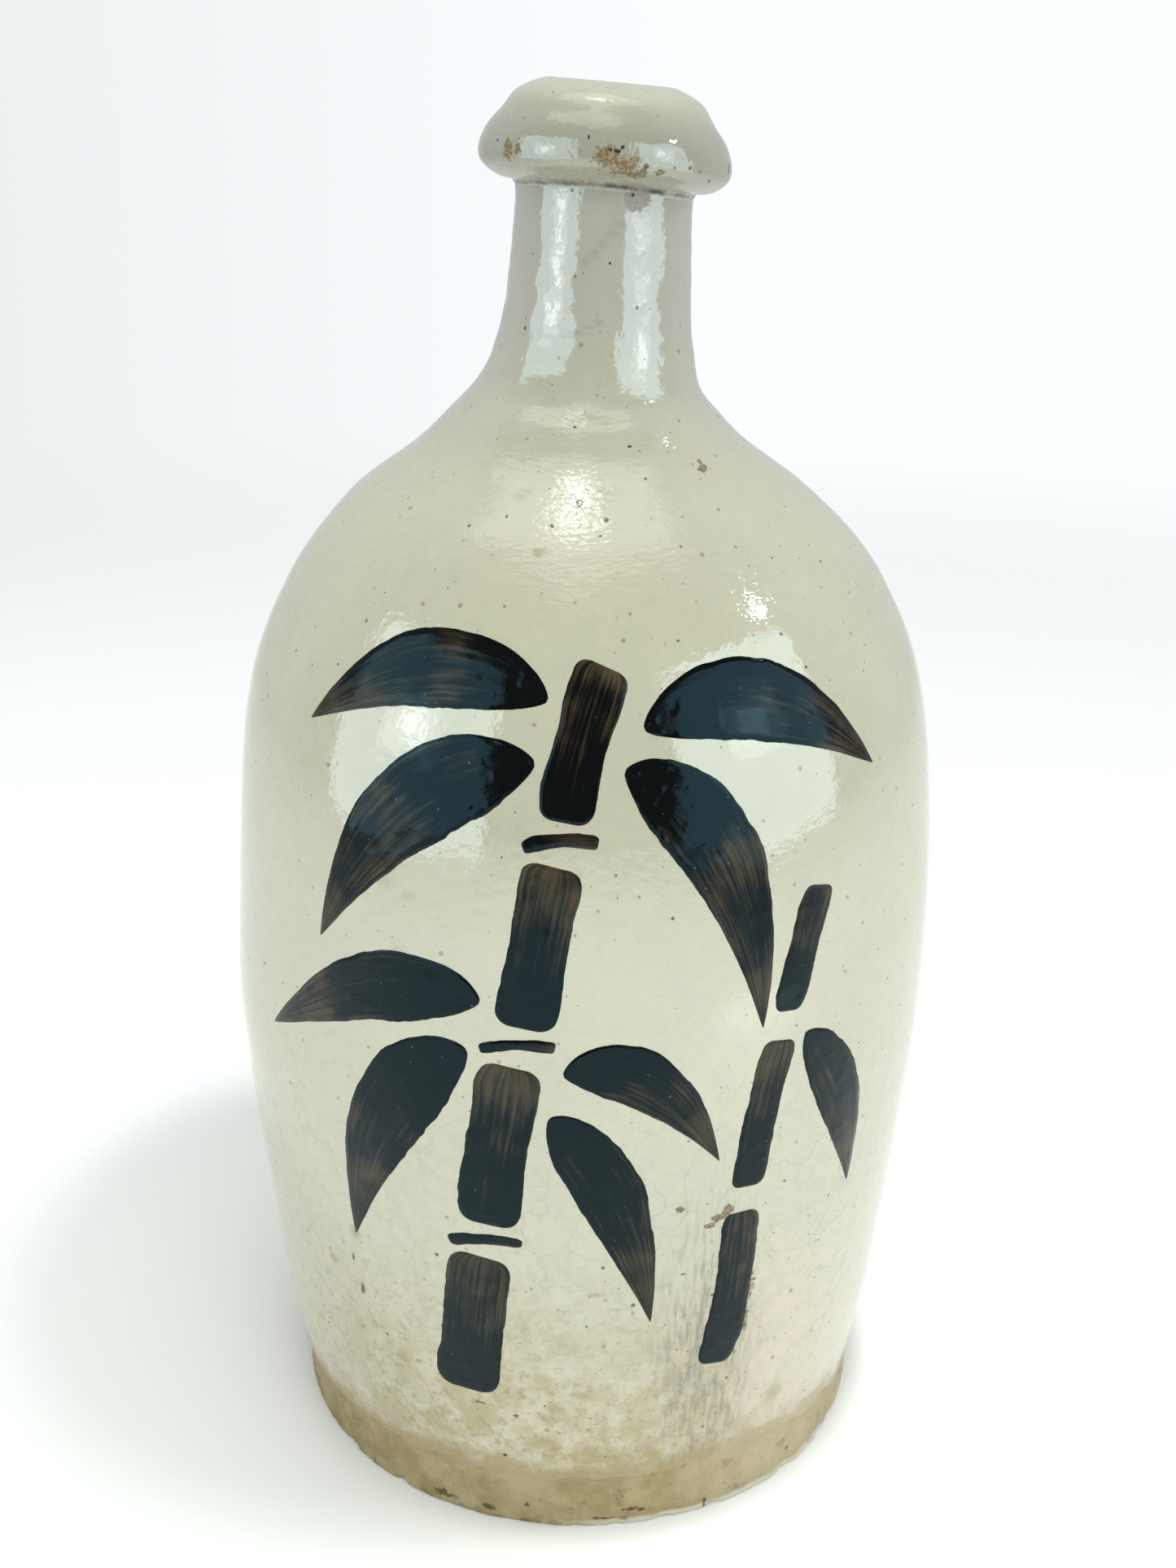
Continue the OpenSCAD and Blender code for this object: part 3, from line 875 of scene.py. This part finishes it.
def glaze_edge(s, colour):
    """Near the foot the glaze thins out and the clay shows through, with a brown line along the edge."""
    from_edge = s.attribute("from_edge")
    thin = s.rise(s.add(from_edge, s.times(s.swing(5, 5, 0.7), 13)), 8.5, 1.5)
    colour = s.mix(s.times(thin, s.rise(s.x, 30, 0, 0.5, 0.95)), colour, THIN_COLOUR)
    from_line = s.add(from_edge, s.times(s.noise(7, 2), 2.2), -2.2)
    line = s.rise(s.math("ABSOLUTE", from_line), 0.42, 0.08)
    return s.mix(s.times(line, s.rise(s.x, 26, 6), 0.4), colour, EDGE_LINE_COLOUR), thin


def glaze_material():
    """Thin grey-green feldspar glaze, crazed, stained and worn."""
    s = Shader("ash_glaze")
    climb = s.attribute("from_crease")
    ragged = s.swing(0.8, 3, 0.6)
    colour, stain, rubbed = glaze_stains(s, glaze_ground(s, climb))
    colour, craze = glaze_crazing(s, colour)
    colour = glaze_specks(s, colour, ragged)
    colour, patch, flaky = glaze_lip_dirt_and_shade(s, colour, climb, ragged)
    colour, thin = glaze_edge(s, colour)
    scar = s.rise(s.nearest(SCARS, ragged, 1.8), 1.15, 0.75)
    colour = s.mix(s.times(scar, s.rise(flaky, 0.3, 0.6, 0.5, 0.95)), colour, SCAR_COLOUR)
    black = s.specks(4.2, 0.75, 0.45, (7.3, 2.1, 5.7))
    pits = s.math("MINIMUM", s.add(black, s.rise(s.nearest(PITS, ragged, 1.6), 0.85, 0.5)), 1.0)
    colour = s.mix(s.times(pits, 0.93), colour, PIT_COLOUR)
    # The gloss is lost where the glaze is thin, stained, rubbed, patched or scarred.
    glossy = s.rise(s.add(thin, patch, scar, s.times(rubbed, 0.4), s.times(stain, 0.4)), 0, 1, 1.0, 0.12)
    s.set(Base_Color=colour, IOR=1.6, Specular_IOR_Level=s.times(s.rise(climb, 0, 4, 1.0, 0.85), glossy))
    worn = s.add(s.times(stain, 0.12), s.times(rubbed, 0.12), s.times(patch, 0.3), s.times(thin, 0.25))
    s.set(Roughness=s.add(0.03, s.times(s.rise(s.z, 180, 160), 0.025), s.times(s.noise(6, 3), 0.02), worn))
    # The surface: orange peel, finer and drawn out sideways on the shoulder.
    shoulder = s.rise(s.math("ABSOLUTE", s.add(s.z, -190)), 22, 8)
    peel = s.times(s.noise(1.7, 2, 0.5), s.rise(s.z, 190, 212, 0.06, 0.085))
    fine_peel = s.times(s.noise(0.6, 2, 0.5), s.rise(s.z, 190, 212, 0.007, 0.012))
    drawn = s.times(s.noise((2.0, 2.0, 0.7), 2, 0.6), shoulder, 0.11)
    scuffs = s.times(s.noise((1.2, 1.2, 7), 3, 0.6), rubbed, 0.03)
    crust = s.times(s.add(patch, scar), s.noise(0.7, 3, 0.6), 0.25)
    sunk = s.add(s.times(pits, -0.14), s.times(craze, -0.006))
    s.set(Normal=s.bump(s.add(peel, fine_peel, drawn, scuffs, crust, sunk)))
    return s.material


def slip_material():
    """Glossy iron slip: black where thick, brown and streaky where the brush ran dry, with pale bluish specks
    that are painted glints.
    """
    s = Shader("iron_slip_black")
    stroke_place = s.node("ShaderNodeCombineXYZ")
    s.put(stroke_place.inputs[0], s.times(s.attribute("stroke_mm"), 0.05))
    s.put(stroke_place.inputs[1], s.attribute("across_mm"))
    hairs = s.noise((1, 0.8, 1), 4, 0.7, at=stroke_place.outputs[0])
    spent = s.times(s.attribute("stroke_t"), 0.35)
    dryness = s.add(s.times(hairs, 0.9), s.times(s.noise(9, 2, 0.5), 0.7), spent)
    dry = s.rise(dryness, 0.95, 1.35)
    colour = s.mix(dry, SLIP_COLOUR, DRY_SLIP_COLOUR)
    # Pale bluish specks on the slip: painted glints.
    specks = s.specks(1.7, 0.8, 0.24, (3.3, 0.2, 9.1))
    colour = s.mix(s.times(specks, 0.35), colour, SLIP_GLINT_SPECK)
    s.set(Base_Color=colour, IOR=1.33, Roughness=s.add(0.05, s.times(dry, 0.15)))
    s.set(Specular_Tint=SLIP_SHEEN)
    s.set(Normal=s.bump(s.add(s.times(hairs, 0.02), s.times(s.noise(0.7, 2), 0.01))))
    return s.material


def clay_material(name, worn):
    """Buff stoneware clay; worn clay is dirty, paler on the right and rubbed white along its lower rim."""
    s = Shader(name)
    colour = s.mix(s.rise(s.noise(7, 4, 0.65), 0.35, 0.65), CLAY_DARK, CLAY_COLOUR)
    if worn:
        paler = s.rise(s.add(s.x, s.times(s.noise(8, 3), 20)), 22, 46)
        colour = s.mix(s.times(paler, 0.4), colour, CLAY_PALE)
        dirt = s.add(s.noise(3.2, 5, 0.7, shift=(5, 5, 5)), s.times(s.rise(s.z, 4, 0), 0.1))
        colour = s.mix(s.times(s.rise(dirt, 0.54, 0.74), 0.75), colour, CLAY_DIRT)
        rim = s.rise(s.add(s.z, s.times(s.noise(3.5, 4, 0.6), 2.4)), 3.1, 2.1)
        colour = s.mix(s.times(rim, s.rise(s.x, -10, 12, 0, 0.9)), colour, CLAY_RIM)
        grime = s.rise(s.nearest(GRIME, s.swing(0.9, 3, 0.6), 3.2), 1.1, 0.5)
        colour = s.mix(s.times(grime, 0.85), colour, GRIME_COLOUR)
    else:
        colour = s.mix(0.5, colour, CLAY_INSIDE)
    s.set(Base_Color=colour, Roughness=s.rise(s.noise(4), 0.3, 0.7, 0.55, 0.8))
    s.set(IOR=1.45, Specular_IOR_Level=0.3)
    s.set(Normal=s.bump(s.add(s.times(s.noise(0.8, 4, 0.6), 0.12), s.times(s.noise(3, 2), 0.1))))
    return s.material


def lining_material():
    """Smooth, mottled glaze inside the body."""
    s = Shader("inside_glaze")
    colour = s.mix(s.rise(s.noise(12, 4, 0.6), 0.35, 0.7), LINING_PALE, LINING_DARK)
    s.set(Base_Color=colour, Roughness=0.2, IOR=1.55)
    return s.material


# ---- the bottle
wall_clay = clay_material("wall_clay_pale", worn=False)
slip = slip_material()

glaze_skin(glaze_material())
foot(clay_material("foot_clay_buff", worn=True))
clay_wall("lower_clay", base_join + 0.3, belly_join, "lower_wall", wall_clay)
clay_wall("upper_clay", belly_join + 0.3, neck_join - 3, "upper_wall", wall_clay)
clay_neck(wall_clay)
clay_lip(wall_clay)
lining(lining_material())
painting = (("culm", CULMS, culm_width), ("ring", RINGS, culm_width), ("shoot", SHOOTS, culm_width),
            ("leaf", LEAVES, leaf_width))
for group, (stem, strokes, width_at) in enumerate(painting):
    for number, stroke in enumerate(strokes, 1):
        node = f"{stem}_{number}"
        brush_stroke(f"bamboo_{node}", node, stroke, width_at, number + 20 * group, slip)


# ---- floor, lights, world and camera
def floor():
    """A pale disc that fades into the background, so it shows no horizon."""
    around = 64
    radii = (0.3, 0.6, 1.0, 1.5)
    points = [(0, 0, 0)] + [(r * math.cos(a), r * math.sin(a), 0) for r in radii for a in angles(around)]
    centre = [[0, 1 + j, 1 + (j + 1) % around] for j in range(around)]
    rings = [face[::-1] for face in grid_faces(len(radii), around, first=1)]
    mesh = bpy.data.meshes.new("studio_floor")
    mesh.from_pydata(points, [], centre + rings)
    plane = bpy.data.objects.new("studio_floor", mesh)
    bpy.context.scene.collection.objects.link(plane)
    s = Shader("studio_white")
    s.set(Base_Color=(0.86, 0.865, 0.86), Roughness=0.6, Specular_IOR_Level=0.2)
    distance = s.vector("LENGTH", s.vector("MULTIPLY", s.place, (1, 1, 0)))
    s.set(Alpha=s.rise(distance, 1100, 450))
    # The floor glows a little, so that it is as bright as the background, but not in the bottle's shade.
    from_shade = s.vector("LENGTH", s.vector("MULTIPLY", s.vector("ADD", s.place, (45, -25, 0)), (1, 1, 0)))
    glow = s.times(s.rise(from_shade, 70, 112, 0.04, 0.4), s.rise(distance, 56, 64))
    s.set(Emission_Color=(0.95, 1.0, 0.97), Emission_Strength=glow)
    mesh.materials.append(s.material)


def area_light(name, place, aim, size, radiance, colour, lit=True, mirrored=True):
    """A flat light whose face has this radiance; size is its width and height in metres."""
    lamp = bpy.data.lights.new(name, "AREA")
    lamp.shape = "RECTANGLE"
    lamp.size, lamp.size_y = size
    lamp.energy = radiance * math.pi * size[0] * size[1]
    lamp.color = colour
    light = bpy.data.objects.new(name, lamp)
    light.location = place
    light.rotation_euler = (Vector(aim) - Vector(place)).to_track_quat("-Z", "Y").to_euler()
    light.visible_camera = False
    light.visible_diffuse = lit
    light.visible_glossy = mirrored
    bpy.context.scene.collection.objects.link(light)


def softbox(name, degrees, lamp_h, sheen):
    """A tall light beside the camera, with its lamp's hot spot; sheen is its added brightness in the glaze.

    Its parts lie 10 mm apart, because of two lights in one plane the glaze mirrors only one.
    """
    turn = math.radians(degrees)
    toward = Vector((math.sin(turn), -math.cos(turn), 0))
    aim = Vector((0, 0, 0.2675))
    lamp_aim = Vector((0, 0, lamp_h))
    size = (0.46, 0.425)
    area_light(f"softbox_{name}", aim + 0.45 * toward, aim, size, 0.75, (0.84, 0.96, 1.0))
    area_light(f"softbox_{name}_sheen", aim + 0.46 * toward, aim, size, sheen, (0.66, 0.97, 1.1), lit=False)
    for part, (width, radiance) in enumerate(((0.15, 0.9), (0.07, 2.2)), 1):
        place = lamp_aim + (0.445 - 0.01 * part) * toward
        area_light(f"softbox_{name}_lamp_{part}", place, lamp_aim, (width, width), radiance,
                   (0.92, 0.98, 1.0), lit=False)


def lights():
    """Two softboxes in front, a corner lamp and a ceiling lamp, all mirrored in the glaze, and three fills.

    The ceiling lamp is a bright middle in two wider, dimmer glows.
    """
    softbox("left", -56.5, 0.262, 1.1)
    softbox("right", 54, 0.285, 1.2)
    middle = (0, 0, 0.2)
    area_light("corner_lamp", (0.449, -0.071, 0.55), middle, (0.045, 0.045), 40, (1, 1, 1))
    for part, (width, radiance) in enumerate(((0.034, 45), (0.16, 2.5), (0.6, 0.8)), 1):
        place = (-0.027, 0.035, 0.9 + 0.01 * part)
        area_light(f"ceiling_lamp_{part}", place, middle, (width, width), radiance,
                   (1.0, 0.99, 0.9), lit=False)
    area_light("overhead", (0, -0.1, 0.9), middle, (0.5, 0.5), 2.8, (0.98, 1.0, 0.93), mirrored=False)
    area_light("front_fill", (0, -0.62, 0.68), (0, 0, 0.13), (0.7, 0.5), 3.15, (0.96, 1.0, 0.95),
               mirrored=False)
    area_light("low_fill", (0.24, -0.2, 0.03), (0.03, -0.04, 0.03), (0.12, 0.05), 3.5, (1.0, 1.0, 0.97),
               mirrored=False)


def world():
    """Bright behind the bottle and dim in front of it; the camera sees it pale, and dimmer on the left."""
    made = bpy.data.worlds.new("studio")
    bpy.context.scene.world = made
    made.use_nodes = True
    nodes, links = made.node_tree.nodes, made.node_tree.links
    direction = nodes.new("ShaderNodeTexCoord")
    split = nodes.new("ShaderNodeSeparateXYZ")
    links.new(direction.outputs["Generated"], split.inputs[0])

    def ramp(axis, low, high, bottom, top):
        """Brightness from bottom, where the direction's part along the axis is low, to top."""
        ranged = nodes.new("ShaderNodeMapRange")
        links.new(split.outputs[axis], ranged.inputs[0])
        for socket, number in zip(ranged.inputs[1:5], (low, high, bottom, top)):
            socket.default_value = number
        return ranged.outputs[0]

    seen = nodes.new("ShaderNodeLightPath")
    strength = nodes.new("ShaderNodeMix")
    links.new(seen.outputs["Is Camera Ray"], strength.inputs["Factor"])
    links.new(ramp("Y", -0.35, 0.45, 0.10, 0.7), strength.inputs[2])
    links.new(ramp("X", -0.4, 0.1, 0.86, 1.04), strength.inputs[3])
    back = nodes["Background"]
    links.new(strength.outputs[0], back.inputs["Strength"])
    back.inputs["Color"].default_value = (0.93, 0.98, 0.985, 1)


def camera():
    """The photograph's view: level with the lip, looking down at the painted side."""
    pitch, yaw, roll = math.radians(21.730), math.radians(0.196), math.radians(0.493)
    place = (0, -0.31921, 0.25490)
    forward = Vector((math.sin(yaw) * math.cos(pitch), math.cos(yaw) * math.cos(pitch), -math.sin(pitch)))
    right = Vector((math.cos(yaw), -math.sin(yaw), 0))
    up = right.cross(forward)
    axis_x = math.cos(roll) * right + math.sin(roll) * up
    axis_y = math.cos(roll) * up - math.sin(roll) * right
    lens = bpy.data.cameras.new("photo_camera")
    lens.lens = 41.17
    lens.sensor_width = 36
    lens.clip_start = 0.01
    view = bpy.data.objects.new("photo_camera", lens)
    turned = Matrix((axis_x, axis_y, -forward)).transposed().to_4x4()
    view.matrix_world = Matrix.Translation(place) @ turned
    bpy.context.scene.collection.objects.link(view)
    bpy.context.scene.camera = view


floor()
lights()
world()
camera()
bpy.context.scene.view_settings.view_transform = "Standard"
